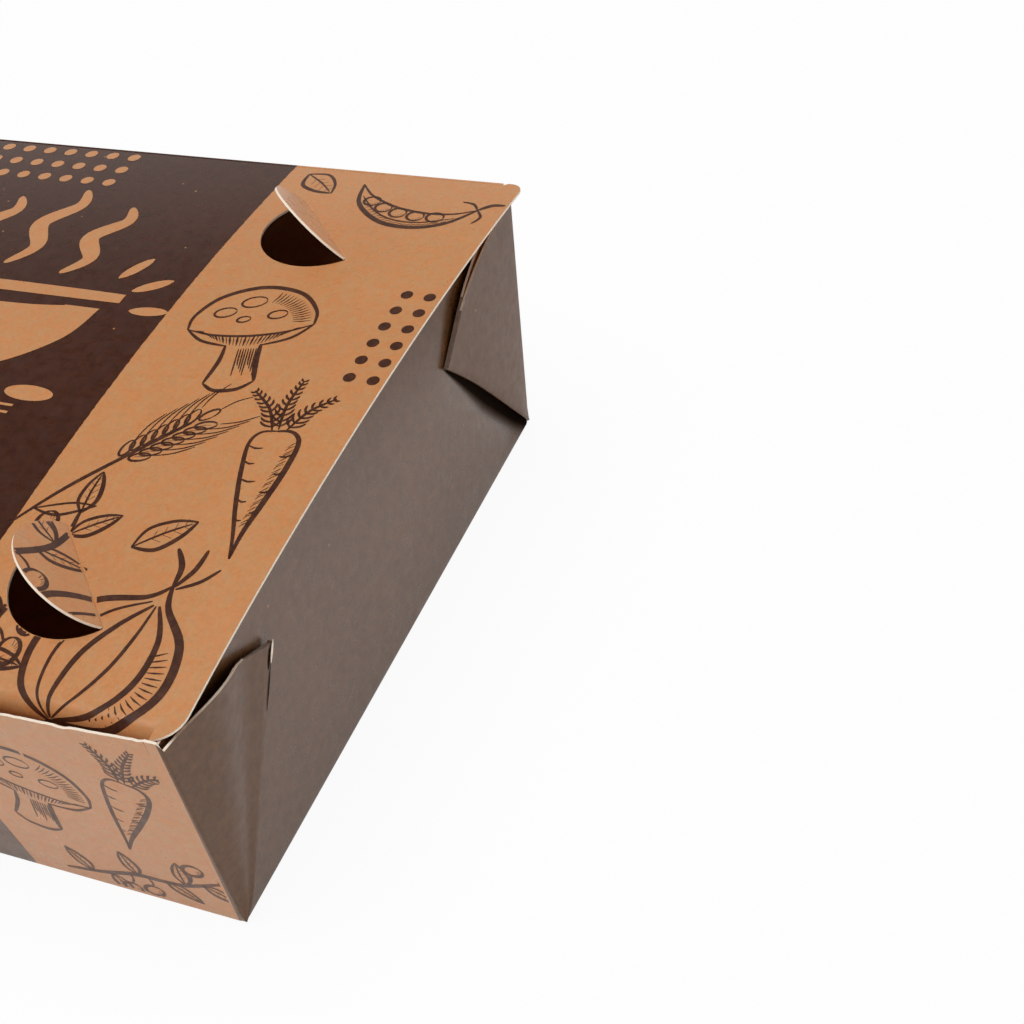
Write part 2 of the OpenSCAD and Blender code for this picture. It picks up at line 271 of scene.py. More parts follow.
def ink_film_group():
    """Ink printed on kraft: an uneven film with a few pinholes where the board shows."""
    group = bpy.data.node_groups.new("ink_film", "ShaderNodeTree")
    for label in ("Board", "Ink"):
        group.interface.new_socket(label, in_out="INPUT", socket_type="NodeSocketColor")
    group.interface.new_socket("Color", in_out="OUTPUT", socket_type="NodeSocketColor")
    start = group.nodes.new("NodeGroupInput")
    end = group.nodes.new("NodeGroupOutput")
    place = group.nodes.new("ShaderNodeTexCoord").outputs["Object"]
    film = value_between(group, noise(group, place, 640.0, 5.0, 0.8), 0.32, 0.68, 0.72, 1.34)
    streaks = value_between(group, noise(group, place, 26.0, 2.0), 0.3, 0.7, 0.93, 1.08)
    film = maths(group, "MULTIPLY", film, streaks)
    printed = colour_mix(group, 1.0, start.outputs["Ink"], film, "MULTIPLY")
    cells = group.nodes.new("ShaderNodeTexVoronoi")
    cells.inputs["Scale"].default_value = 230.0
    link(group, place, cells.inputs["Vector"])
    chosen = group.nodes.new("ShaderNodeSeparateColor")
    link(group, cells.outputs["Color"], chosen.inputs[0])
    chosen = value_between(group, chosen.outputs["Red"], 0.60, 0.61, 0.0, 0.8)
    pinholes = value_between(group, cells.outputs["Distance"], 0.034, 0.052, 1.0, 0.0)
    pinholes = maths(group, "MULTIPLY", pinholes, chosen)
    link(group, colour_mix(group, pinholes, printed, start.outputs["Board"]), end.inputs["Color"])
    return group


kraft_pulp = kraft_pulp_group()
ink_film = ink_film_group()


def groove_mask(tree, place):
    """1 in the painted shade below the back right web's crease, 0 elsewhere, with a soft lower edge."""
    split = tree.nodes.new("ShaderNodeSeparateXYZ")
    link(tree, place, split.inputs[0])
    long_y = DISH_FOOT[0] - DISH_TIP[0]
    long_z = DISH_FOOT[1] - DISH_TIP[1]
    length = math.hypot(long_y, long_z)
    y = maths(tree, "SUBTRACT", split.outputs["Y"], DISH_TIP[0] * MM)
    z = maths(tree, "SUBTRACT", split.outputs["Z"], DISH_TIP[1] * MM)
    ahead = maths(tree, "ADD", maths(tree, "MULTIPLY", y, long_y), maths(tree, "MULTIPLY", z, long_z))
    ahead = maths(tree, "MULTIPLY", ahead, 1 / (MM * length**2))
    off = maths(tree, "SUBTRACT", maths(tree, "MULTIPLY", y, long_z), maths(tree, "MULTIPLY", z, long_y))
    off = maths(tree, "MULTIPLY", off, 1 / (MM * length * GROOVE_WIDTH))
    width = value_between(tree, ahead, 0.0, 0.5, 0.05, 1.0)
    mask = value_between(tree, maths(tree, "DIVIDE", off, width), 0.25, 1.15, 1.0, 0.0)
    mask = maths(tree, "MULTIPLY", mask, value_between(tree, off, -1.6, -1.2, 0.0, 1.0))
    mask = maths(tree, "MULTIPLY", mask, value_between(tree, ahead, 0.0, 0.04, 0.0, 1.0))
    return maths(tree, "MULTIPLY", mask, value_between(tree, split.outputs["X"], 0.0, 0.01, 0.0, 1.0))


def kraft_material(name, tints, roughness, ink=None, gloss=0.5, band_edge=None, band_skew=0.0, shaded=False):
    """Kraft board, bare or inked. With a band edge, the ink covers only the middle of the box."""
    material, tree = blank_material(name)
    pulp = tree.nodes.new("ShaderNodeGroup")
    pulp.node_tree = kraft_pulp
    for label, tint in zip(("Warm", "Yellow", "Deep"), tints):
        pulp.inputs[label].default_value = tint
    colour = pulp.outputs["Color"]
    place = tree.nodes.new("ShaderNodeTexCoord").outputs["Object"]
    if ink:
        film = tree.nodes.new("ShaderNodeGroup")
        film.node_tree = ink_film
        link(tree, colour, film.inputs["Board"])
        film.inputs["Ink"].default_value = ink
        colour = film.outputs["Color"]
    if band_edge:
        split = tree.nodes.new("ShaderNodeSeparateXYZ")
        link(tree, place, split.inputs[0])
        skewed = maths(tree, "MULTIPLY", split.outputs["Y"], band_skew)
        across = maths(tree, "ADD", split.outputs["X"], skewed)
        wobble = value_between(tree, noise(tree, place, 900.0, 1.0), 0.3, 0.7, -BAND_WOBBLE, BAND_WOBBLE)
        across = maths(tree, "ADD", maths(tree, "ABSOLUTE", across), wobble)
        mask = value_between(tree, across, band_edge * MM - BAND_BLUR, band_edge * MM + BAND_BLUR, 1.0, 0.0)
        colour = colour_mix(tree, mask, pulp.outputs["Color"], colour)
    shader = tree.nodes.new("ShaderNodeBsdfPrincipled")
    shader.inputs["Specular IOR Level"].default_value = gloss
    rough = value_between(tree, noise(tree, place, 420.0, 3.0), 0.3, 0.7, roughness - 0.06, roughness + 0.06)
    if shaded:
        groove = groove_mask(tree, place)
        colour = colour_mix(tree, groove, colour, GROOVE_SHADE)
        rough = maths(tree, "MAXIMUM", rough, maths(tree, "MULTIPLY", groove, 0.95))
        link(tree, value_between(tree, groove, 0.0, 1.0, gloss, 0.02), shader.inputs["Specular IOR Level"])
    link(tree, colour, shader.inputs["Base Color"])
    link(tree, rough, shader.inputs["Roughness"])
    bump = tree.nodes.new("ShaderNodeBump")
    bump.inputs["Strength"].default_value = BUMP_STRENGTH
    bump.inputs["Distance"].default_value = BUMP_HEIGHT
    link(tree, pulp.outputs["Height"], bump.inputs["Height"])
    link(tree, bump.outputs["Normal"], shader.inputs["Normal"])
    out = tree.nodes.new("ShaderNodeOutputMaterial")
    link(tree, shader.outputs[0], out.inputs["Surface"])
    return material


BOARD_MATERIALS = [
    kraft_material("tray_band_board", KRAFT_TINTS, 0.32, TRAY_PRINT_AND_SHEEN, 0.5, TRAY_BAND_EDGE),
    kraft_material("lid_band_board", KRAFT_TINTS, 0.30, DARK_PRINT, 0.38, LID_BAND_EDGE, LID_BAND_SKEW),
    kraft_material("dark_board", KRAFT_TINTS, 0.30, TRAY_PRINT_AND_SHEEN, 0.66, shaded=True),
    kraft_material("bare_board", KRAFT_TINTS, 0.70),
    kraft_material("raw_edge", EDGE_AND_HIGHLIGHT_TINTS, 0.80),
    kraft_material("worn_crease_and_painted_sheen", KRAFT_TINTS, 0.60, WEAR_AND_SHEEN_PRINT),
    kraft_material("web_board", KRAFT_TINTS, 0.36, TRAY_PRINT_AND_SHEEN, 0.36),
    kraft_material("painted_split_shade", (KRAFT_DEEP,) * 3, 0.80, SLIT_SHADE, 0.0),
]
TRAY_BAND, LID_BAND, DARK, BARE, RAW, WEAR_AND_SHEEN, WEB, SPLIT_SHADE_SLOT = range(8)


def add_piece(name, points, faces, materials, body, slots=None, crease_angle=None):
    """A piece from points in millimetres, riding on a body; slots give each face its material."""
    mesh = bpy.data.meshes.new(name)
    mesh.from_pydata([Vector(p) * MM for p in points], [], faces)
    for material in materials:
        mesh.materials.append(material)
    if slots:
        mesh.polygons.foreach_set("material_index", slots)
    shape = bmesh.new()
    shape.from_mesh(mesh)
    bmesh.ops.recalc_face_normals(shape, faces=shape.faces)
    shape.to_mesh(mesh)
    shape.free()
    mesh.shade_smooth()
    if crease_angle:
        mesh.set_sharp_from_angle(angle=math.radians(crease_angle))
    piece = bpy.data.objects.new(name, mesh)
    scene.collection.objects.link(piece)
    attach(piece, body)
    return piece


def board_piece(name, points, faces, slots, body, crease_angle=35):
    return add_piece(name, points, faces, BOARD_MATERIALS, body, slots, crease_angle)


def blend(a, b, share):
    return a + (b - a) * share


def pressed(y):
    return PRESS * math.exp(-(((y - PRESS_Y) / PRESS_REACH) ** 2))


def dish(y, z):
    """How far the right end wall is pushed in just below the slanting edge of the back web."""
    long_y = DISH_FOOT[0] - DISH_TIP[0]
    long_z = DISH_FOOT[1] - DISH_TIP[1]
    length = math.hypot(long_y, long_z)
    along = ((y - DISH_TIP[0]) * long_y + (z - DISH_TIP[1]) * long_z) / length**2
    off = ((y - DISH_TIP[0]) * long_z - (z - DISH_TIP[1]) * long_y) / length
    if not 0 < along < 1 or y > DISH_END_Y:
        return 0.0
    profile = min(1.0, 1.6 * along) * min(1.0, (z - FLOOR_FOLD) / 3.0, (DISH_END_Y - y) / 2.0)
    return DISH * max(0.0, profile) * math.exp(-((off / DISH_REACH) ** 2))


def fold_round(x, y, radius, start, z0, z1):
    turned = []
    for k in range(CORNER_STEPS + 1):
        a = math.radians(start + 90 * k / CORNER_STEPS)
        turned.append((x + radius * math.cos(a), y + radius * math.sin(a), blend(z0, z1, k / CORNER_STEPS)))
    return turned


def rim_nick():
    """How far the front wall's edge is worn down at one point: a little all along, more at a few points."""
    wear = random.uniform(0.0, 0.10)
    if random.random() < 0.10:
        wear += random.uniform(0.12, 0.30)
    return wear


random.seed(7)
rim_nicks = [rim_nick() for _ in range(FRONT_STEPS)]


def sheet_ring(inset, front, back, heights, rim=0.0):
    """One turn round the tray from its front right corner; rim is 1 where bends and wear show."""
    r = CORNER_FOLD - inset
    xf, yf = front
    xb, yb = back
    xr = xb - rim * pressed(BACK_Y)
    zf, zef, zeb, zb = heights
    ring = fold_round(xf, yf, r, -90, zf, zef)
    for k in range(1, END_STEPS):
        s = k / END_STEPS
        y = blend(yf, yb, s)
        ring.append((blend(xf, xb, s) + r - rim * pressed(y), y, blend(zef, zeb, s)))
    ring += fold_round(xr, yb, r, 0, zeb, zb)
    ring += [(blend(xr, -xb, k / FRONT_STEPS), yb + r, zb) for k in range(1, FRONT_STEPS)]
    ring += fold_round(-xb, yb, r, 90, zb, zeb)
    for k in range(1, END_STEPS):
        s = k / END_STEPS
        ring.append((-blend(xb, xf, s) - r, blend(yb, yf, s), blend(zeb, zef, s)))
    ring += fold_round(-xf, yf, r, 180, zef, zf)
    for k in range(1, FRONT_STEPS):
        s = 2 * k / FRONT_STEPS - 1
        ring.append((s * xf, yf - r - rim * FRONT_BOW * (1 - s**4), zf - rim * rim_nicks[k]))
    return ring


def foot_ring(inset, z):
    x = FLOOR_X - CORNER_FOLD
    y = FLOOR_Y - CORNER_FOLD
    return sheet_ring(inset, (x, -y), (x, y), (z, z, z, z))


def rim_ring(inset, sink=0.0):
    front = (FRONT_X - WEB_STACK - CORNER_FOLD, CORNER_FOLD - FRONT_Y)
    back = (BACK_X - WEB_STACK - CORNER_FOLD, BACK_Y - CORNER_FOLD)
    ring = sheet_ring(inset, front, back, (FRONT_Z, END_FRONT_Z, END_BACK_Z, BACK_Z), 1.0)
    return [(x, y, z - sink) for x, y, z in ring]


def wall_rings(inset, steps):
    foot = foot_ring(inset, FLOOR_FOLD)
    rim = rim_ring(inset, RIM_DROP)
    rings = []
    for k in range(1, steps + 1):
        t = k / steps
        ring = []
        for p, q in zip(foot, rim):
            x, y, z = (blend(a, b, t) for a, b in zip(p, q))
            if x > 0:
                x += pressed(y) * (t - t**PRESS_BEND) * min(1.0, (BACK_Y - y) / PRESS_FADE) - dish(y, z)
            ring.append((x, y, z))
        rings.append(ring)
    return rings


def tray_walls():
    inner = FLOOR_FOLD - BOARD
    turns = [math.radians(15 * k) for k in range(7)]
    rings = [foot_ring(FLOOR_FOLD * (1 - math.sin(a)), FLOOR_FOLD * (1 - math.cos(a))) for a in turns]
    rings += wall_rings(0.0, WALL_STEPS)
    rim_from = len(rings) - 1
    rings += [rim_ring(RIM_EASE), rim_ring(BOARD - RIM_EASE)]
    rings += reversed(wall_rings(BOARD, WALL_STEPS))
    rim_to = rim_from + 3
    for a in reversed(turns):
        rings.append(foot_ring(BOARD + inner * (1 - math.sin(a)), FLOOR_FOLD - inner * math.cos(a)))
    n = len(rings[0])
    front_from = n - FRONT_STEPS + 1
    back_from = 2 * CORNER_STEPS + 1 + END_STEPS
    points = [p for ring in rings for p in ring]
    faces = [list(range(n)), [n * (len(rings) - 1) + k for k in range(n)]]
    slots = [BARE, BARE]
    for j in range(len(rings) - 1):
        for k in range(n):
            b = (k + 1) % n
            faces.append([j * n + k, j * n + b, (j + 1) * n + b, (j + 1) * n + k])
            flat = k >= front_from - 1 or back_from <= k < back_from + FRONT_STEPS
            if j >= rim_to:
                slots.append(BARE)
            elif j >= rim_from:
                slots.append(RAW)
            else:
                slots.append(TRAY_BAND if flat else DARK)
    piece = board_piece("tray_walls", points, faces, slots, "tray")
    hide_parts("tray")


tray_walls()

# Web corners: each corner of the sheet is a gusset, folded double on its slanting crease and laid
# flat outside the end wall. Its outer ply runs on from the front or back wall round the upright fold.
WEB_CREASE = 45.0
WEB_REACH = 47.3
PLY_GAP = 0.03
FOLD_SWELL = 0.04
UPRIGHT_FOLD = 0.5
STAND_OFF = 0.9
STAND_EASE = 0.78
PRINT_MARGIN_FOOT = 1.1
PRINT_MARGIN_TOP = 0.5
RISE_STEPS = 18
PLY_STEPS = 14


def web_corner(name, side, front, angle, end_cut, belly, gape, short, bow=0.0):
    """Adds one web; gives back its foot and the ways to its crease's tip, across the crease and outward."""
    way = -1 if front else 1
    foot = Vector((FLOOR_X, way * FLOOR_Y, 0.0))
    x, y, z = (FRONT_X, FRONT_Y, FRONT_Z) if front else (BACK_X, BACK_Y, BACK_Z)
    top = Vector((x, way * y, z))
    tangent_top = x - WEB_STACK - CORNER_FOLD
    if not front and side > 0:
        tangent_top -= pressed(BACK_Y)
    upright = (top - foot).normalized()
    inward = Vector((0, -way, 0))
    along = (inward - upright * inward.dot(upright)).normalized()
    normal = Vector((0, 1, 0)).cross(upright).normalized()
    lean = math.atan2(abs(top.y - foot.y), top.z)
    wall_normal = Vector((0, way * math.cos(lean), -math.sin(lean)))
    turn = math.radians(angle)
    cut = math.atan2(end_cut, WEB_CREASE)
    tip_way = upright * math.cos(turn) + along * math.sin(turn)
    out_way = along * math.cos(turn) - upright * math.sin(turn)
    roll = (BOARD + PLY_GAP + FOLD_SWELL) / 2
    rises = [0.02 + 0.98 * k / RISE_STEPS for k in range(RISE_STEPS + 1)]
    columns = []

    def reach(a):
        if a > turn - cut:
            return WEB_CREASE / math.cos(turn - a)
        return blend(WEB_REACH, WEB_CREASE / math.cos(cut), a / (turn - cut))

    def squeeze(rise):
        s = min(1.0, rise / 0.4)
        return 0.3 + 0.7 * s * s * (3 - 2 * s)

    def ply_width(rise):
        return reach(turn) * rise * math.sin(turn) - (roll + BOARD / 2)

    def fold_size(rise):
        return max(0.02, min(UPRIGHT_FOLD, 0.5 * ply_width(rise)))

    def stand_off(rise):
        return STAND_OFF * min(1.0, rise / 0.1) - STAND_EASE * rise

    def on_ply(a, rise, depth, shorter):
        r = reach(a) * rise * (1 - shorter * (1 - a / turn))
        lift = stand_off(rise) * a / turn
        a *= 1 - bow * math.sin(math.pi * rise)
        width = ply_width(rise)
        near = fold_size(rise)
        e = near + r * math.sin(a) * (width - near) / (width + roll + BOARD / 2)
        bulge = belly * math.sin(math.pi * min(1.0, a / (turn - cut)) ** 1.2) * rise
        return foot + upright * r * math.cos(a) + along * e + normal * (lift + bulge - depth)

    for share in (0.0, 0.4, 0.8, 1.0):
        column = []
        for rise in rises:
            corner = foot + (top - foot) * rise
            tangent = blend(FLOOR_X - CORNER_FOLD, tangent_top, rise)
            edge = max(tangent + 0.1, corner.x - blend(PRINT_MARGIN_FOOT, PRINT_MARGIN_TOP, rise))
            last = max(edge + 0.02, corner.x - fold_size(rise) + 0.05)
            x = blend(tangent, edge, share / 0.8) if share < 0.9 else last
            place = Vector((x, corner.y, corner.z)) - wall_normal * (BOARD / 2)
            column.append((place, wall_normal))
        columns.append((column, TRAY_BAND if share < 0.8 else DARK, RAW))
    for k in range(1, 8):
        turned = math.radians(90 * k / 8)
        column = []
        for rise in rises:
            full = (top - foot).length
            drop = blend(full, WEB_REACH, (k / 7) ** 1.5) if k < 7 else WEB_REACH
            centre = foot + upright * drop * rise - (wall_normal + normal) * fold_size(rise)
            ray = (wall_normal * math.cos(turned) + normal * math.sin(turned)).normalized()
            column.append((centre + ray * (fold_size(rise) - BOARD / 2), ray))
        columns.append((column, WEB, RAW))
    # Past the end cut, the cut ends of both plies take the worn crease material as painted sheen: greyish,
    # matching the end wall's reflection.
    for k in range(PLY_STEPS + 1):
        a = turn * k / PLY_STEPS
        column = [(on_ply(a, rise, BOARD / 2, 0.0), normal) for rise in rises]
        columns.append((column, WEB, RAW if a < turn - cut else WEAR_AND_SHEEN))
    for k in range(1, 8):
        turned = math.pi * k / 8
        column = []
        for rise in rises:
            bent = turn * (1 - bow * math.sin(math.pi * rise))
            centre = foot + (upright * math.cos(bent) + along * math.sin(bent)) * WEB_CREASE * rise
            centre -= out_way * (roll + BOARD / 2)
            centre += normal * (stand_off(rise) - BOARD / 2 - roll * squeeze(rise))
            ray = (normal * math.cos(turned) * squeeze(rise) + out_way * math.sin(turned)).normalized()
            offset = normal * math.cos(turned) * roll * squeeze(rise) + out_way * math.sin(turned) * roll
            column.append((centre + offset, ray))
        # Column 2 of the front crease is rubbed ink. The crease's top end takes the same tone as painted
        # sheen.
        columns.append((column, WEAR_AND_SHEEN if k == 2 and front else WEB, WEAR_AND_SHEEN))
    for k in range(PLY_STEPS + 1):
        a = turn * (1 - k / PLY_STEPS)
        column = []
        for rise in rises:
            depth = BOARD / 2 + 2 * roll * squeeze(rise) + gape * max(0.0, 1 - a / (turn - cut)) * rise
            column.append((on_ply(a, rise, depth, short), -normal))
        columns.append((column, WEB, RAW if a < turn - cut else WEAR_AND_SHEEN))

    points = []
    faces = []
    slots = []
    m = len(rises)
    for sign in (1, -1):
        for column, _, _ in columns:
            for place, ray in column:
                p = place + ray * (sign * BOARD / 2)
                points.append((side * p.x, p.y, p.z))
    half = len(columns) * m
    for c in range(len(columns) - 1):
        for k in range(m - 1):
            a = c * m + k
            faces.append([a, a + 1, a + m + 1, a + m])
            slots.append(columns[c][1])
            faces.append([half + a, half + a + m, half + a + m + 1, half + a + 1])
            slots.append(BARE if k > 1 else DARK)
        for k in (0, m - 1):
            a = c * m + k
            faces.append([a, a + m, half + a + m, half + a])
            slots.append(columns[c][2] if k else DARK)
    for c in (0, len(columns) - 1):
        for k in range(m - 1):
            a = c * m + k
            faces.append([a, a + 1, half + a + 1, half + a])
            slots.append(BARE)
    board_piece(name, points, faces, slots, "tray", 50)
    return foot, tip_way, out_way, normal


tip_split = web_corner("web_front_right", 1, True, 36, 9.2, 1.35, 0.0, 0.04)
web_corner("web_back_right", 1, False, 44, 10.7, 0.0, 1.3, 0.0, 0.03)
web_corner("web_front_left", -1, True, 36, 9.2, 1.35, 0.0, 0.04)
web_corner("web_back_left", -1, False, 44, 10.7, 0.0, 0.0, 0.0)

# Split tip: at the front right web the board has split at the tip of the crease. A pale sliver of torn kraft
# stands beside a short dark slit, and a thin dark line runs on below them. The slit and the line are painted
# shade: near-black matt strips, not openings in the board. All three are strips that lie on the web.
SPLIT_LIFT = 0.05
SPLIT_STEPS = 8


def sliver(name, start, end, off, width, slot):
    """A thin pointed strip on the web, measured down the crease from its tip."""
    foot, down, across, away = tip_split
    points = []
    for k in range(SPLIT_STEPS + 1):
        t = k / SPLIT_STEPS
        rise = 1 - blend(start, end, t) / WEB_CREASE
        lift = SPLIT_LIFT + STAND_OFF - STAND_EASE * rise
        middle = foot + down * (WEB_CREASE * rise) - across * off + away * lift
        half = across * (width / 2 * math.sin(math.pi * (0.08 + 0.84 * t)))
        points += [middle - half, middle + half]
    faces = [[2 * k, 2 * k + 1, 2 * k + 3, 2 * k + 2] for k in range(SPLIT_STEPS)]
    board_piece(name, points, faces, [slot] * SPLIT_STEPS, "tray")


sliver("split_slit_shade", 0.1, 4.0, 1.05, 0.62, SPLIT_SHADE_SLOT)
sliver("split_edge", -0.4, 3.2, 0.40, 0.60, RAW)
sliver("split_line_shade", 3.2, 10.5, 0.55, 0.36, SPLIT_SHADE_SLOT)

# Lid: the same sheet, running on from the back wall's top crease. It arches from back to front, rolls
# over at the front and ends in a tuck flap behind the front wall. Half-moon cuts open its four vents.
HINGE_Y = 62.675
HINGE_Z = 50.2
LID_BACK_X = 80.0
LID_FRONT_X = 80.3
LID_RISE = 3.65
LID_DROP = 2.35
LID_BACK_Y = 62.305
LID_EAR_Y = 62.9
LID_FRONT_Y = -61.2
BACK_RADIUS = 2.4
FRONT_RADIUS = 4.6
FOLD_RADIUS = 2.6
FLAP_GAP = 0.9
FLAP_LENGTH = 9.5
FLAP_TAPER = 4.0
FLAP_RADIUS = 5.0
CREASE_BEAD = 0.27
VENT_RADIUS = 11.2
VENT_KERF = 0.2
LID_WAVE = 0.12
GRID = 2.5

lid_top_back = HINGE_Z + BOARD / 2
lid_top_front = lid_top_back - LID_DROP
chord = math.hypot(HINGE_Y + FRONT_Y, LID_DROP)
arch_radius = (chord * chord / 4 + LID_RISE * LID_RISE) / (2 * LID_RISE)
arch_tilt = math.atan2(LID_DROP, HINGE_Y + FRONT_Y)
arch_y = (HINGE_Y - FRONT_Y) / 2 + (arch_radius - LID_RISE) * math.sin(arch_tilt)
arch_z = (lid_top_back + lid_top_front) / 2 - (arch_radius - LID_RISE) * math.cos(arch_tilt)
front_lean = math.atan2(FRONT_Y - FLOOR_Y, FRONT_Z - FLOOR_FOLD)


def arch_height(y):
    return arch_z + math.sqrt(arch_radius**2 - (y - arch_y) ** 2)


fold_y = -FRONT_Y
for _ in range(6):
    drop = arch_height(fold_y) - FOLD_RADIUS - FLOOR_FOLD
    fold_y = -(FLOOR_Y - BOARD - FLAP_GAP + drop * math.tan(front_lean)) + FOLD_RADIUS / math.cos(front_lean)
fold_slope = math.asin((arch_y - fold_y) / (arch_radius - FOLD_RADIUS))
fold_z = arch_z + (arch_radius - FOLD_RADIUS) * math.cos(fold_slope)
fold_start_y = arch_y - arch_radius * math.sin(fold_slope)
roll_length = FOLD_RADIUS * (math.pi / 2 + front_lean - fold_slope)
fold_half_x = FRONT_X - WEB_STACK - 3 * BOARD
flap_half_x = fold_half_x - BOARD


def lid_section(d, ear=False):
    """Point and normal in Y and Z at d millimetres of board in front of the fold's start."""
    if d <= 0 or ear:
        a = fold_slope + d / arch_radius
        place = (arch_y - arch_radius * math.sin(a), arch_z + arch_radius * math.cos(a))
        return place, (-math.sin(a), math.cos(a))
    a = fold_slope + min(d, roll_length) / FOLD_RADIUS
    over = max(0.0, d - roll_length)
    y = fold_y - FOLD_RADIUS * math.sin(a) - over * math.cos(a)
    z = fold_z + FOLD_RADIUS * math.cos(a) - over * math.sin(a)
    return (y, z), (-math.sin(a), math.cos(a))


def board_distance(y):
    return arch_radius * (math.asin((arch_y - y) / arch_radius) - fold_slope)


def lid_place(x, y, depth=0.0):
    """Where a point of the unfolded lid lies; y runs on past the fold as if the board were flat."""
    d = fold_start_y - y
    ear = abs(x) > fold_half_x + 0.01
    (py, pz), (ny, nz) = lid_section(d, ear)
    wave = 0.0
    if d < 0:
        wave = LID_WAVE * math.sin(x / 19 + 0.6) * math.sin(y / 23 + 1.1)
        wave *= min(1.0, -d / 20) * min(1.0, (62 - y) / 20)
    return Vector((x, py + ny * (wave - depth), pz + nz * (wave - depth)))


def flat_y(y):
    return fold_start_y - board_distance(y)


def arc(cx, cy, r, start, stop, steps):
    turns = [math.radians(blend(start, stop, k / steps)) for k in range(steps + 1)]
    return [(cx + r * math.cos(a), cy + r * math.sin(a)) for a in turns]


def run(a, b, step):
    n = max(1, round(math.dist(a, b) / step))
    return [(blend(a[0], b[0], k / n), blend(a[1], b[1], k / n)) for k in range(1, n)]


def inside(point, loop):
    x, y = point
    hit = False
    for k in range(len(loop)):
        (x0, y0), (x1, y1) = loop[k - 1], loop[k]
        if (y0 > y) != (y1 > y) and x < (x1 - x0) * (y - y0) / (y1 - y0) + x0:
            hit = not hit
    return hit


def half_moon(x, y, radius, start, side):
    """Outline of a half-moon on its chord at 45 degrees; its arc faces the front and the middle."""
    span = math.degrees(math.asin(start / radius))
    loop = arc(0, 0, radius, 180 + span, 360 - span, 40)
    loop += run(loop[-1], loop[0], 1.0)
    c = math.cos(math.radians(-45))
    s = math.sin(math.radians(-45))
    return [(side * (x + c * u - s * v), y + s * u + c * v) for u, v in loop]


VENTS = {
    "front_right": (1, 53.6, flat_y(-39.0), 45.0),
    "back_right": (1, 51.4, flat_y(42.675), 55.0),
    "front_left": (-1, 53.6, flat_y(-39.0), 0.0),
    "back_left": (-1, 51.4, flat_y(42.675), 0.0),
}


def cut_sheet(outline, holes, grid):
    """Triangles over a flat outline with holes, with the given inner points."""
    loops = [outline] + holes
    places = []
    edges = []
    for loop in loops:
        first = len(places)
        places += loop
        edges += [(first + k, first + (k + 1) % len(loop)) for k in range(len(loop))]
    near = [p for loop in loops for p in loop]
    cells = {}
    for p in near:
        cells.setdefault((round(p[0]), round(p[1])), []).append(p)
    for p in grid:
        if not inside(p, outline) or any(inside(p, hole) for hole in holes):
            continue
        cx = round(p[0])
        cy = round(p[1])
        around = [q for i in (-1, 0, 1) for j in (-1, 0, 1) for q in cells.get((cx + i, cy + j), [])]
        if all(math.dist(p, q) > 0.35 for q in around):
            places.append(p)
    found = delaunay_2d_cdt([Vector(p) for p in places], edges, [], 0, 1e-5, False)
    flat = [tuple(p) for p in found[0]]
    kept = []
    for face in found[2]:
        middle = (sum(flat[k][0] for k in face) / 3, sum(flat[k][1] for k in face) / 3)
        if inside(middle, outline) and not any(inside(middle, hole) for hole in holes):
            kept.append(list(face))
    return flat, kept


def thick_sheet(name, flat, triangles, lay, body, top_slot):
    """Board of full thickness over flat triangles; lay gives the place of a point at a depth."""
    n = len(flat)
    points = [lay(x, y, 0.0) for x, y in flat] + [lay(x, y, BOARD) for x, y in flat]
    faces = [list(t) for t in triangles] + [[k + n for k in reversed(t)] for t in triangles]
    slots = [top_slot] * len(triangles) + [BARE] * len(triangles)
    used = {}
    for t in triangles:
        for a, b in ((t[0], t[1]), (t[1], t[2]), (t[2], t[0])):
            if (b, a) in used:
                del used[(b, a)]
            else:
                used[(a, b)] = True
    for a, b in used:
        faces.append([b, a, a + n, b + n])
        slots.append(RAW)
    return board_piece(name, points, faces, slots, body)


def lid_sheet():
    back = flat_y(LID_BACK_Y)
    front = flat_y(LID_FRONT_Y)
    tip = fold_start_y - roll_length - FLAP_LENGTH
    root = fold_start_y - roll_length + BOARD
    ear = flat_y(LID_EAR_Y)
    x = LID_FRONT_X
    right = [(BACK_X - WEB_STACK + 0.3, back), (BACK_X - WEB_STACK + 0.8, ear)]
    right += arc(LID_BACK_X - BACK_RADIUS, ear - BACK_RADIUS, BACK_RADIUS, 90, 0, 10)
    right += run(right[-1], (x, front + FRONT_RADIUS), 1.5)
    right += arc(x - FRONT_RADIUS, front + FRONT_RADIUS, FRONT_RADIUS, 0, -84, 12)
    slit = fold_half_x + 0.06
    right = [p for p in right if p[0] > slit or p[1] > 0] + [(slit, front), (slit, fold_start_y - 0.3)]
    right += [(fold_half_x, fold_start_y - down) for down in (0.0, 1.5, 3.0)]
    right += [(flap_half_x, root - BOARD)]
    foot_x = flap_half_x - FLAP_TAPER
    right += run(right[-1], (foot_x, tip + FLAP_RADIUS), 1.5)
    right += arc(foot_x - FLAP_RADIUS, tip + FLAP_RADIUS, FLAP_RADIUS, 0, -90, 10)
    left = [(-px, py) for px, py in reversed(right)]
    outline = right + run(right[-1], left[0], 2.0) + left + run(left[-1], right[0], 2.0)
    holes = [half_moon(vx, vy, VENT_RADIUS + VENT_KERF / 2, 0.0, side) for side, vx, vy, _ in VENTS.values()]
    rows = [back - 1.2 - GRID * k for k in range(int((back - fold_start_y) / GRID))]
    rows += [fold_start_y + 0.8, fold_start_y]
    rows += [fold_start_y - roll_length * k / 16 for k in range(1, 17)]
    rows += [fold_start_y - roll_length - 2.0 * k for k in range(1, 5)]
    grid = [(GRID * i + 0.01 * j, row) for i in range(-33, 34) for j, row in enumerate(rows)]
    flat, triangles = cut_sheet(outline, holes, grid)
    piece = thick_sheet("lid_sheet", flat, triangles, lid_place, "lid", LID_BAND)
    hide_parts("lid")


lid_sheet()


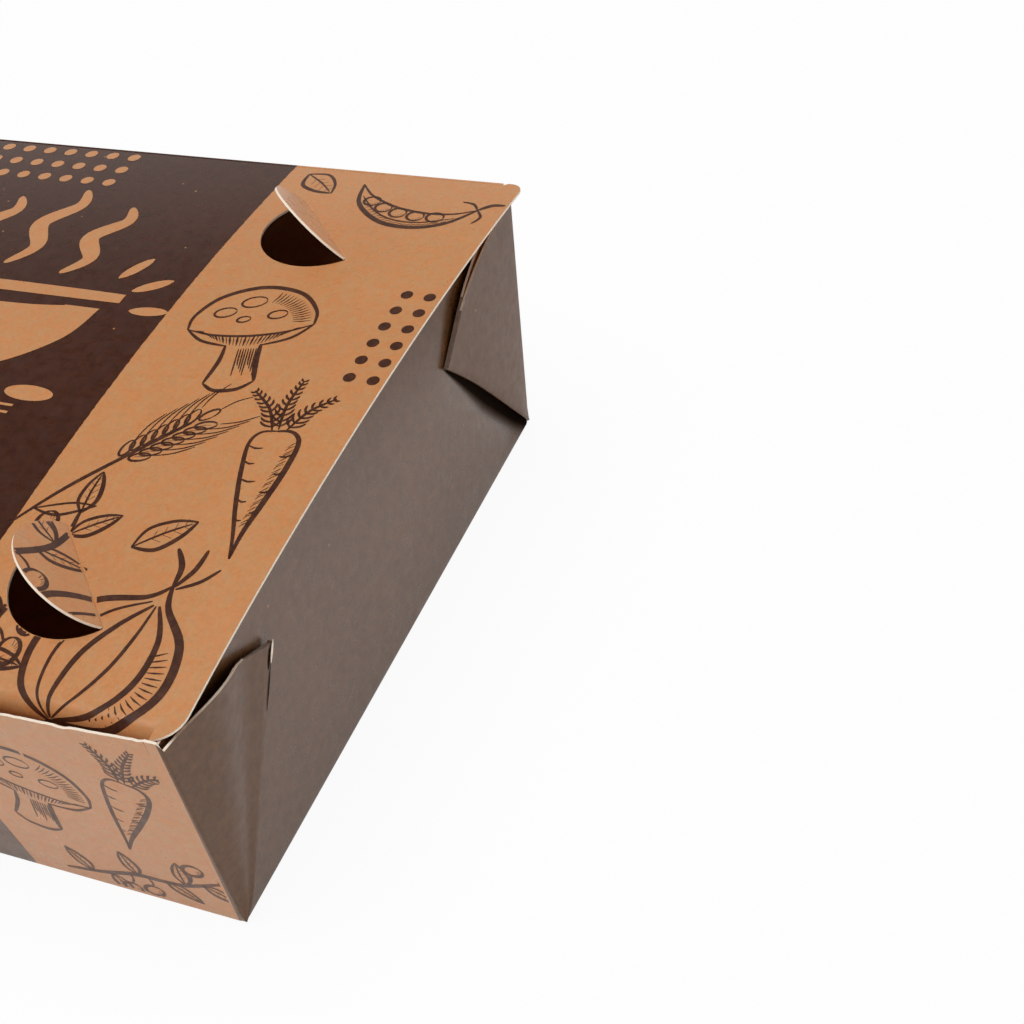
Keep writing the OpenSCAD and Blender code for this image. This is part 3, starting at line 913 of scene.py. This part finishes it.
def straight_bead(name, a, b, body):
    """A raised, rounded crease between two points."""
    along = (b - a).normalized()
    up = Vector((0, 0, 1))
    across = along.cross(up).normalized()
    up = across.cross(along)
    points = []
    faces = []
    steps = max(2, round((b - a).length / 4))
    for k in range(steps + 1):
        centre = a.lerp(b, k / steps)
        for j in range(12):
            turn = math.radians(30 * j)
            points.append(centre + (across * math.cos(turn) + up * math.sin(turn)) * CREASE_BEAD)
    for k in range(steps):
        for j in range(12):
            c = (j + 1) % 12
            faces.append([12 * k + j, 12 * k + c, 12 * k + 12 + c, 12 * k + 12 + j])
    faces.append(list(range(12)))
    faces.append([12 * steps + j for j in range(12)])
    slots = [LID_BAND] * (len(faces) - 2) + [RAW, RAW]
    return board_piece(name, points, faces, slots, body, 80)


bead_end = Vector((BACK_X - WEB_STACK, HINGE_Y, HINGE_Z))
bead_start = Vector((-bead_end.x, HINGE_Y, HINGE_Z))
straight_bead("back_crease", bead_start, bead_end, "tray")

# Vent tabs: half-moons left hanging on their chords when the lid was die-cut. The two at the right end
# are pushed up and stay so; the two at the left end lie shut.
TAB_CURL = -0.004


def tab_frame(side, x, y, lift):
    """The middle of the crease, and the ways along it, away from it and up from the lid."""
    reach = VENT_RADIUS * math.sin(math.radians(45))
    a = lid_place(side * (x - reach), y + reach, BOARD / 2)
    b = lid_place(side * (x + reach), y - reach, BOARD / 2)
    along = (b - a).normalized()
    middle = (a + b) / 2
    up = along.cross(Vector((side, 1, 0))).normalized()
    if up.z < 0:
        up = -up
    away = up.cross(along).normalized()
    if away.y > 0:
        away = -away
    c = math.cos(math.radians(lift))
    s = math.sin(math.radians(lift))
    return middle, along, away * c + up * s, up * c - away * s


def tab_place(name, u, v, depth):
    """Where a point of a tab lies: u along its crease, minus v out along the tab, at a depth in the board."""
    side, x, y, lift = VENTS[name]
    middle, along, away, up = tab_frame(side, x, y, lift)
    curl = TAB_CURL * v * v if lift else 0.0
    return middle + along * u + away * (-v) + up * (BOARD / 2 - depth - curl)


def vent_tab(name):
    middle, along, _, _ = tab_frame(*VENTS[name])
    radius = VENT_RADIUS - VENT_KERF / 2
    start = CREASE_BEAD + 0.1
    span = math.degrees(math.asin(start / radius))
    outline = arc(0, 0, radius, 180 + span, 360 - span, 40)
    outline += run(outline[-1], outline[0], 1.0)
    grid = [(1.2 * i, -start - 1.1 * j) for i in range(-9, 10) for j in range(1, 10)]
    flat, triangles = cut_sheet(outline, [], grid)

    def lay(u, v, depth):
        return tab_place(name, u, v, depth)

    piece = thick_sheet("vent_tab_" + name, flat, triangles, lay, name + "_tab", LID_BAND)
    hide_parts("vent_tab_" + name)
    reach = along * (radius + VENT_KERF)
    straight_bead("vent_crease_" + name, middle - reach, middle + reach, "lid")


for vent in VENTS:
    vent_tab(vent)

# Printed line drawings: dark brown ink on the kraft bands, as loose outlines with thin hatching. They run over
# the vent tabs and round the front fold, because the sheet was printed flat. Each line is a thin ribbon that
# lies just above the board.
INK_LIFT = 0.03
PRINT_SIDE_X = 79.7
PRINT_BACK_MARGIN = 0.3
PRINT_PAST_FOLD = 3.0
PRINT_CREASE_MARGIN = 0.15
FRONT_PRINT_X = 75.5
FRONT_PRINT_FOOT = 1.3
FRONT_PRINT_TOP_MARGIN = 0.6


def ink_material(name, ink, worn, roughness):
    """Ink lines, a little uneven along their length."""
    material, tree = blank_material(name)
    place = tree.nodes.new("ShaderNodeTexCoord").outputs["Object"]
    share = value_between(tree, noise(tree, place, 700.0, 4.0, 0.7), 0.42, 0.74, 0.0, 0.5)
    shader = tree.nodes.new("ShaderNodeBsdfPrincipled")
    shader.inputs["Specular IOR Level"].default_value = 0.25
    link(tree, colour_mix(tree, share, ink, worn), shader.inputs["Base Color"])
    rough = value_between(tree, noise(tree, place, 420.0, 3.0), 0.3, 0.7, roughness - 0.05, roughness + 0.05)
    link(tree, rough, shader.inputs["Roughness"])
    out = tree.nodes.new("ShaderNodeOutputMaterial")
    link(tree, shader.outputs[0], out.inputs["Surface"])
    return material


line_ink = ink_material("line_ink", (0.052, 0.0165, 0.0085, 1), (0.15, 0.055, 0.022, 1), 0.34)
soft_ink = ink_material("soft_ink", (0.105, 0.055, 0.038, 1), (0.30, 0.15, 0.085, 1), 0.40)
unprinted = kraft_material("unprinted_kraft", KRAFT_TINTS, 0.36, None, 0.4)


def front_wall_place(x, z, lift):
    t = (z - FLOOR_FOLD) / (FRONT_Z - FLOOR_FOLD)
    s = x / blend(FLOOR_X - CORNER_FOLD, FRONT_X - WEB_STACK - CORNER_FOLD, t)
    y = blend(-FLOOR_Y, -FRONT_Y - FRONT_BOW * (1 - s**4), t)
    return Vector((x, y - lift * math.cos(front_lean), z - lift * math.sin(front_lean)))


def lid_home(x, y):
    """The piece of board that holds a flat point of the lid, and where the point lies on it."""
    if abs(x) > PRINT_SIDE_X or y > flat_y(LID_BACK_Y) - PRINT_BACK_MARGIN:
        return None
    if y < fold_start_y - roll_length - PRINT_PAST_FOLD:
        return None
    if abs(x) > fold_half_x - 0.1 and y < flat_y(LID_FRONT_Y) + FRONT_RADIUS:
        return None
    for name, (side, vx, vy, _) in VENTS.items():
        px = side * x - vx
        py = y - vy
        u = (px - py) * math.sqrt(0.5)
        v = (px + py) * math.sqrt(0.5)
        r = math.hypot(u, v)
        if v < 0 and r < VENT_RADIUS + VENT_KERF / 2:
            if v > -CREASE_BEAD - PRINT_CREASE_MARGIN or r > VENT_RADIUS - VENT_KERF / 2:
                return None
            return name + "_tab", tab_place(name, u, v, -INK_LIFT)
    return "lid", lid_place(x, y, -INK_LIFT)


def front_home(x, z):
    if abs(x) > FRONT_PRINT_X or z < FRONT_PRINT_FOOT or z > FRONT_Z - FRONT_PRINT_TOP_MARGIN:
        return None
    return "tray", front_wall_place(x, z, INK_LIFT)


def soft_curve(points, step=0.45):
    """Even points on a smooth curve through the given ones."""
    ends = [points[0]] + list(points) + [points[-1]]
    found = []
    for k in range(1, len(ends) - 2):
        p0, p1, p2, p3 = ends[k - 1 : k + 3]
        n = max(1, round(math.dist(p1, p2) / step))
        for j in range(n):
            t = j / n
            w = (-t + 2 * t * t - t**3, 2 - 5 * t * t + 3 * t**3, t + 4 * t * t - 3 * t**3, -t * t + t**3)
            found.append(tuple(sum(c * p[i] for c, p in zip(w, (p0, p1, p2, p3))) / 2 for i in (0, 1)))
    found.append(tuple(points[-1]))
    return found


def curves(*rows):
    """Pen strokes: each row holds a width and the points that the stroke runs through."""
    return [(soft_curve(points), width) for width, *points in rows]


def turned(points, x, y, way, size=1.0, side=1):
    """Points of a drawing turned and sized about its middle, set at x and y, and mirrored at the left."""
    c = math.cos(math.radians(way)) * size
    s = math.sin(math.radians(way)) * size
    return [(side * (x + c * u - s * v), y + s * u + c * v) for u, v in points]


def oval(x, y, rx, ry, turn=0.0, steps=20):
    round_it = [2 * math.pi * k / steps for k in range(steps + 1)]
    return turned([(rx * math.cos(a), ry * math.sin(a)) for a in round_it], x, y, turn)


def ticks(x, y, width, angles, *stops):
    """Hatching round a middle: each line joins the stops, given as half width, half height, turn, drop."""
    return [
        ([(x + rx * math.cos(a + turn), y + ry * math.sin(a) - drop) for rx, ry, turn, drop in stops], width)
        for a in angles
    ]


class PrintLayer:
    """One ink: collects strokes and fields as thin faces, piece by piece of the board under them."""

    def __init__(self, name, home, material):
        self.name = name
        self.home = home
        self.material = material
        self.meshes = {}

    def add(self, places, faces):
        bodies = {}
        for face in faces:
            homes = [self.home(*places[k]) for k in face]
            if None in homes or len({h[0] for h in homes}) > 1:
                continue
            bodies.setdefault(homes[0][0], []).append((face, [h[1] for h in homes]))
        for body, found in bodies.items():
            points, polygons = self.meshes.setdefault(body, ([], []))
            seen = {}
            for face, spots in found:
                for k, spot in zip(face, spots):
                    if k not in seen:
                        seen[k] = len(points)
                        points.append(spot)
                polygons.append([seen[k] for k in face])

    def stroke(self, line, width, ends=0.3):
        """A pen stroke: widest in its middle, thin at both ends."""
        places = []
        n = len(line)
        for k, (x, y) in enumerate(line):
            x0, y0 = line[max(0, k - 1)]
            x1, y1 = line[min(n - 1, k + 1)]
            long = math.hypot(x1 - x0, y1 - y0) or 1.0
            half = width / 2 * (ends + (1 - ends) * abs(math.sin(math.pi * k / (n - 1))) ** 0.6)
            for way in (1, 0, -1):
                places.append((x - way * (y1 - y0) / long * half, y + way * (x1 - x0) / long * half))
        corners = [3 * k + j for k in range(n - 1) for j in (0, 1)]
        self.add(places, [(a, a + 1, a + 4, a + 3) for a in corners])

    def drawing(self, strokes, x, y, way, size, side):
        for line, width in strokes:
            self.stroke(turned(line, x, y, way, size, side), width * size**0.5)

    def field(self, loop, middle):
        """A filled shape that every line from its middle stays inside."""
        steps = 5
        places = [middle]
        for j in range(1, steps + 1):
            places += [(blend(middle[0], x, j / steps), blend(middle[1], y, j / steps)) for x, y in loop]
        n = len(loop)
        faces = [[0, 1 + k, 1 + (k + 1) % n] for k in range(n)]
        for j in range(steps - 1):
            for k in range(n):
                a = 1 + j * n
                faces.append([a + k, a + n + k, a + n + (k + 1) % n, a + (k + 1) % n])
        self.add(places, faces)

    def finish(self):
        for body, (points, faces) in self.meshes.items():
            add_piece(self.name + "_" + body, points, faces, [self.material], body)


def carrot():
    strokes = curves(
        (0.85, (-0.5, 0.4), (-3.6, 0), (-5.1, -3), (-4.3, -10), (-2.7, -18), (-0.6, -26.5), (0.2, -31)),
        (1.1, (-0.5, 0.4), (2.6, 0.2), (4.6, -2.6), (4.2, -9), (2.6, -17), (0.8, -25), (0.2, -31)),
    )
    left_rings = ((-4.9, -3.5, 3), (-4.5, -7.5, 2.2), (-3.9, -12, 3.2), (-2.8, -17, 2), (-1.9, -21.5, 1.5))
    right_rings = ((4.5, -5.5, -2.6), (4, -10, -1.9), (3.2, -14.5, -2.4), (2, -19.5, -1.5))
    for rings, sag, width in ((left_rings, 0.7, 0.4), (right_rings, 0.8, 0.45)):
        for x, y, reach in rings:
            ring = [(x, y), (x + reach * 0.5, y - sag), (x + reach, y - sag + 0.1)]
            strokes.append((soft_curve(ring, 0.4), width))
    for k in range(22):
        y = -2.5 - 0.95 * k
        x = 4.3 - 0.155 * k
        strokes.append(([(x, y), (x - 0.7 - 0.4 * math.sin(2.4 * k), y - 0.5), (x - 1.5, y - 1.3)], 0.2))
    stalks = (
        ((-1.6, 0.6), (-4.0, 6.5), (-8.5, 11.5)),
        ((-0.4, 0.8), (-0.8, 7.5), (0.6, 14.5)),
        ((1.2, 0.6), (4.2, 6.0), (8.6, 9.5)),
    )
    for stalk in stalks:
        stem = soft_curve(stalk)
        strokes.append((stem, 0.6))
        for k in range(3, len(stem) - 1, 3):
            x, y = stem[k]
            way = math.atan2(stem[k + 1][1] - y, stem[k + 1][0] - x)
            long = 3.4 * (1 - 0.7 * k / len(stem))
            for turn in (0.75, -0.75):
                frond = [(x, y)]
                for bent, reach in ((way + turn * 1.3, 0.6 * long), (way + turn, long)):
                    frond.append((x + reach * math.cos(bent), y + reach * math.sin(bent)))
                strokes.append((soft_curve(frond, 0.5), 0.5))
    return strokes


def mushroom():
    strokes = curves(
        (0.95, (-10.5, -0.6), (-10.2, 3.2), (-6.6, 8.0), (0.0, 10.2), (6.6, 8.2), (10.2, 3.4), (10.6, -0.4)),
        (0.55, (-10.5, -0.6), (-6.0, -2.2), (0.0, -2.8), (6.0, -2.1), (10.6, -0.4)),
        (0.6, (-10.5, -0.6), (-7.4, -3.6), (-2.9, -5.2)),
        (0.6, (10.6, -0.4), (7.6, -3.6), (3.1, -5.2)),
    )
    for k in range(27):
        x = -9.1 + 0.7 * k
        top = -2.75 + 0.021 * x * x
        low = -5.3 + 0.047 * x * x
        gill = [(x, top), (x * 0.90, (top + low) / 2), (x * 0.82, low)]
        strokes.append((gill, 0.30 + 0.12 * math.sin(3.0 * k)))
    strokes += curves(
        (0.75, (-2.9, -5.0), (-3.0, -9.0), (-4.2, -14.2)),
        (0.95, (3.0, -5.0), (3.2, -9.0), (4.0, -14.0)),
        (0.8, (-4.2, -14.2), (-2.0, -15.9), (1.6, -15.8), (4.0, -14.0)),
    )
    for k in range(9):
        x = 2.9 - 0.42 * k
        bend = (x + 0.2, -8.6 - 0.3 * (k % 3))
        strokes += curves((0.26, (x, -6.0), bend, (x + 0.4, -12.6 + 0.8 * (k % 4))))
    for x, y, r in ((-5.2, 3.6, 1.5), (-0.9, 6.2, 1.7), (3.9, 2.6, 1.3), (-1.6, 1.6, 0.9)):
        strokes.append((oval(x, y, r * 1.25, r * 0.8, 12), 0.42))
    rim = [math.radians(6 + 4.6 * k) for k in range(15)]
    return strokes + ticks(0, 0, 0.26, rim, (9.9, 9.3, 0, 0.2), (8.5, 7.9, 0, 0.3), (6.9, 6.2, 0.03, 0))


def pea_pod():
    strokes = curves(
        (0.7, (-15.5, 3.6), (-11.0, 0.5), (-5.0, -1.4), (0.0, -1.9), (6.0, -1.3), (11.0, 0.6), (14.6, 3.6)),
        (1.15, (-15.5, 3.6), (-12, -2.9), (-6, -6.9), (0, -8.3), (6.5, -6.9), (11.5, -3), (14.6, 3.6)),
        (0.45, (-12.6, -0.6), (-6.0, -4.9), (0.0, -6.3), (6.0, -5.0), (12.0, -0.9)),
    )
    for x in (-9.2, -5.2, -0.9, 3.5, 7.8):
        y = -3.6 + 0.023 * x * x
        strokes.append((oval(x, y, 1.9, 1.75), 0.6))
        shade = [-1.3 + 0.4 * j for j in range(4)]
        strokes += ticks(x, y, 0.24, shade, (1.7, 1.6, 0, 0), (0.9, 0.9, 0, 0.1))
    strokes += curves(
        (1.0, (14.6, 3.6), (16.4, 6.4), (19.0, 7.4)),
        (0.6, (14.6, 3.6), (12.4, 5.4), (9.6, 5.4)),
        (0.6, (14.6, 3.6), (16.8, 1.4), (16.4, -1.4)),
    )
    for k in range(20):
        x = -10.0 + 1.05 * k
        y = -7.7 + 0.041 * x * x
        strokes.append(([(x, y), (x + 0.5, y + 0.55), (x + 1.1, y + 0.95 + 0.3 * math.sin(2.0 * k))], 0.22))
    return strokes


def leaf(x, y, length, width, way):
    """A slim leaf from its foot, with a midrib and a few veins."""
    strokes = curves(
        (0.6, (0, 0), (0.3 * length, width), (0.7 * length, 0.8 * width), (length, 0)),
        (0.8, (0, 0), (0.3 * length, -width), (0.7 * length, -0.75 * width), (length, 0)),
        (0.4, (0, 0), (0.5 * length, 0.12 * width), (0.92 * length, 0)),
    )
    for k in range(1, 5):
        a = length * (0.15 + 0.16 * k)
        for vein in (0.55 * width, -0.55 * width):
            strokes.append(([(a, 0), (a + 0.10 * length, vein)], 0.25))
    return [(turned(line, x, y, way), pen) for line, pen in strokes]


def olive_branch():
    strokes = curves((1.25, (-19.0, -7.0), (-10.0, -3.6), (-2.0, 0.4), (8.0, 2.6), (17.0, 8.4)))
    leaves = ((-12.5, -4.6, 118), (-8.0, -2.8, -66), (-1.5, 0.5, 104), (4.5, 2.2, -36), (9.0, 3.2, 92))
    for x, y, way in leaves + ((16.6, 8.0, 34), (13.0, 5.6, -24)):
        strokes += leaf(x, y, 8.6, 1.55, way)
    for x, y in ((-4.5, -6.6), (0.6, -4.6), (12.0, 10.6)):
        strokes.append((oval(x, y, 2.3, 1.8, 40), 0.85))
        shade = [-1.2 + 0.42 * j for j in range(5)]
        strokes += ticks(x, y, 0.28, shade, (1.9, 1.7, 0, 0), (0.9, 0.9, 0, 0.2))
    for a, b in (((-4.2, -4.8), (-3.4, -0.4)), ((0.8, -2.8), (0.4, 1.0)), ((11.2, 8.8), (9.6, 3.6))):
        strokes += curves((0.5, a, ((a[0] + b[0]) / 2 + 0.4, (a[1] + b[1]) / 2), b))
    return strokes


def wheat_ear():
    strokes = curves((0.8, (2.4, -24.0), (0.6, -12.0), (0.0, 0.0), (-0.4, 13.0)))
    for k in range(7):
        y = 1.0 + 2.15 * k
        for side in (1, -1):
            high = y + (1.1 if side > 0 else 0.0)
            strokes.append((oval(side * 1.9, high, 2.1, 0.95, 90 - side * 30, 14), 0.5))
            awn = [(side * out, high + up) for out, up in ((3.2, 2.2), (5.0, 5.4), (6.0, 9.2))]
            strokes.append((soft_curve(awn), 0.28))
            strokes.append(([(side * 1.2, y + 0.3), (side * 2.4, y + 1.9)], 0.26))
    strokes.append((oval(-0.4, 16.6, 0.9, 2.1, 0, 14), 0.5))
    return strokes + curves(
        (0.28, (-0.4, 18.6), (-0.6, 22.0), (0.2, 25.0)),
        (0.6, (1.6, -18.0), (6.0, -15.0), (8.6, -8.4)),
        (0.45, (1.6, -18.0), (5.0, -11.8), (8.6, -8.4)),
    )


def onion():
    strokes = curves(
        (1.15, (0.6, 12.4), (-1.4, 9.6), (-7.6, 5.8), (-10.4, -1.0), (-7.4, -7.8), (-1.2, -10.6)),
        (1.35, (0.6, 12.4), (2.6, 9.4), (8.2, 5.4), (10.6, -1.4), (7.2, -8.0), (-1.2, -10.6)),
        (0.55, (-0.2, 9.4), (-4.6, 5.2), (-6.8, -1.0), (-4.8, -7.2), (-1.2, -10.2)),
        (0.9, (0.4, 9.0), (-1.8, 4.4), (-3.2, -1.0), (-2.6, -6.6), (-1.0, -10.0)),
        (0.6, (0.8, 9.0), (1.6, 4.2), (1.8, -1.2), (0.8, -6.6), (-0.8, -10.0)),
        (1.0, (1.2, 9.2), (5.0, 4.8), (6.4, -1.4), (4.4, -7.0), (-0.6, -10.2)),
        (0.9, (0.6, 12.4), (-0.6, 15.4), (-3.2, 17.6)),
        (0.8, (0.8, 12.4), (1.4, 15.8), (0.8, 19.2)),
        (0.6, (1.2, 12.2), (3.4, 14.6), (4.6, 17.4)),
    )
    for k in range(7):
        a = math.radians(236 + 11 * k)
        bend = (-1.2 + 1.8 * math.cos(a), -10.4 + 1.8 * math.sin(a))
        tip = (-1.0 + 3.4 * math.cos(a + 0.2), -10.4 + 3.4 * math.sin(a + 0.2))
        strokes += curves((0.32, (-1.2, -10.4), bend, tip))
    side = [math.radians(-58 + 6.6 * k) for k in range(16)]
    return strokes + ticks(0, 0, 0.28, side, (9.7, 8.6, 0, 1.4), (8.4, 7.4, 0, 1.5), (7.4, 6.2, 0.05, 1.5))


lid_print = PrintLayer("lid_print", lid_home, line_ink)
front_print = PrintLayer("front_print", front_home, soft_ink)
LID_DRAWINGS = (
    (mushroom(), 52.0, 15.0, 14, 1.0),
    (pea_pod(), 63.0, 53.0, -12, 0.82),
    (leaf(0, 0, 9.5, 2.6, 0), 39.0, 60.4, -38, 1.0),
    (carrot(), 69.0, -7.5, 10, 0.80),
    (wheat_ear(), 47.5, -17.0, -40, 0.84),
    (olive_branch(), 46.0, -46.5, 62, 0.96),
    (onion(), 64.0, -51.0, -14, 1.08),
    (leaf(0, 0, 10.0, 2.2, 0), 58.0, -33.0, 40, 1.0),
)
FRONT_DRAWINGS = (
    (mushroom(), 50.0, 30.0, -18, 0.92),
    (carrot(), 69.0, 36.0, -22, 0.70),
    (olive_branch(), 60.0, 6.6, -8, 0.80),
)
for side in (1, -1):
    for drawing in LID_DRAWINGS:
        lid_print.drawing(*drawing, side)
    for row in range(6):
        for column in range(2):
            dot = (side * (74.1 + 4.05 * column), flat_y(27.2 - 4.24 * row))
            lid_print.field(oval(*dot, 1.02, 1.05), dot)
    for drawing in FRONT_DRAWINGS:
        front_print.drawing(*drawing, side)
lid_print.finish()
front_print.finish()

# Emblem and dot rows: on such a box, places of the dark band that are left unprinted. Here they are thin faces
# of unprinted kraft on the band. A steaming bowl with its rim and foot, a pair of thin bars, short ticks and
# an oval lie in the middle of the lid.
emblem = PrintLayer("kraft_emblem", lid_home, unprinted)
bowl = [(23.5, 14.0), (21.5, 6.0), (14.0, -1.5), (6.0, -4.0), (-6.0, -4.0), (-14.0, -1.5), (-21.5, 6.0)]
emblem.field([(-23.5, 14.0)] + soft_curve(bowl + [(-23.5, 14.0)], 1.2), (0.0, 8.0))
emblem.stroke([(0.9 * k - 26.1, 17.2) for k in range(59)], 2.7, 0.85)
emblem.field(oval(0.0, -6.6, 8.5, 1.0, 0, 30), (0.0, -6.6))
for x, y, size in ((-13.0, 22.0, 1.0), (-1.0, 23.0, 1.15), (11.5, 22.0, 1.0)):
    bends = ((-1.5, 0.0), (1.6, 5.0), (-2.0, 11.0), (2.0, 17.0), (0.2, 21.5))
    emblem.stroke(soft_curve([(x + u, y + v * size) for u, v in bends], 0.8), 3.5, 0.12)
for x, y, way in ((22.0, 22.5, 62), (26.5, 19.5, 34), (29.0, 14.5, 6)):
    emblem.stroke(turned([(0.9 * k, 0.0) for k in range(9)], x, y, way), 2.3, 0.15)
for y in (-10.6, -12.2):
    emblem.stroke([(0.9 * k - 22.5, y) for k in range(51)], 0.55, 0.9)
emblem.field(oval(23.5, -7.5, 4.6, 1.7, 0, 30), (23.5, -7.5))
for row in range(3):
    for column in range(8):
        dot = (1.0 - 4.86 * column + 0.25 * row, flat_y(60.3 - 4.75 * row))
        emblem.field(oval(*dot, 1.25, 1.25), dot)
emblem.finish()
